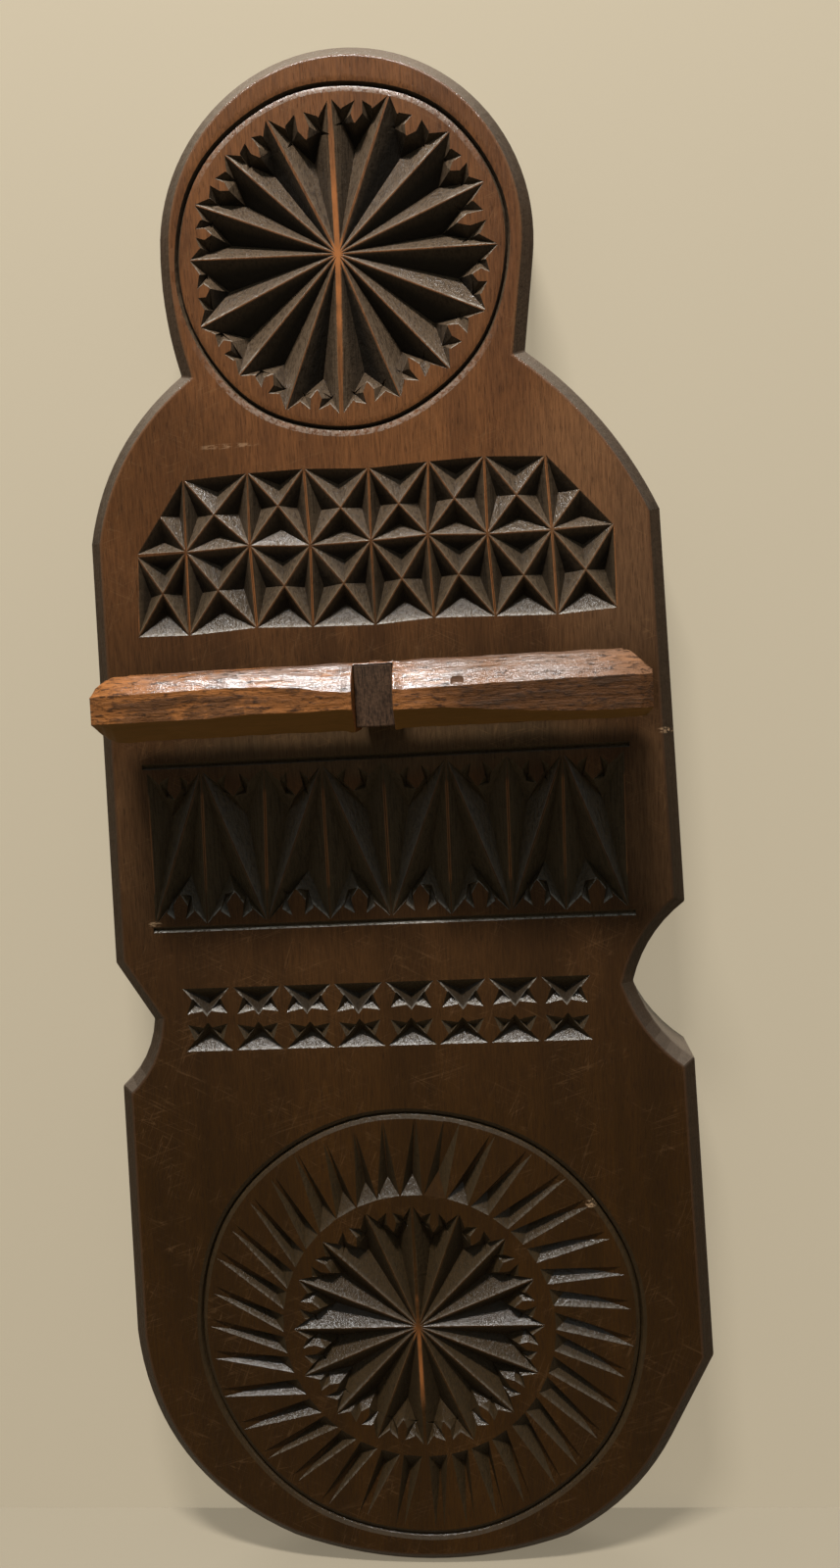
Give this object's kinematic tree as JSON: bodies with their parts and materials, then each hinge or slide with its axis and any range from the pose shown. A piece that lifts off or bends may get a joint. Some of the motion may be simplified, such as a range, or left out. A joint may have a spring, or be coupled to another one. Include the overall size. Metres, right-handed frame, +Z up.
{
  "type": "wooden spoon rack",
  "caption": "Chip-carved wall board with a round head and rounded foot; a bracket arm holds one hewn crossbar off its face, and spoons hang in the gap behind the bar.",
  "frame": {"origin": "mouth of the hanging hole, on the flat back of the head, on the board's middle line", "axes": "+Z up along the board, +X to the right as seen from the carved front, +Y into the wall, so the carving faces -Y"},
  "size_m": [0.1454, 0.045, 0.37],
  "materials": {
    "board_wood": "dark stained, waxed and worn",
    "arm_wood": "dark stained, bare end grain",
    "bar_wood": "hewn, handled, worn",
    "wedge_wood": "split, bare",
    "pin_wood": "whittled, bare"
  },
  "bodies": {
    "root": {"board": "board_wood", "arm": "arm_wood", "crossbar": "bar_wood", "tenon_wedge": "wedge_wood", "lap_pin": "pin_wood"}
  },
  "joints": []
}
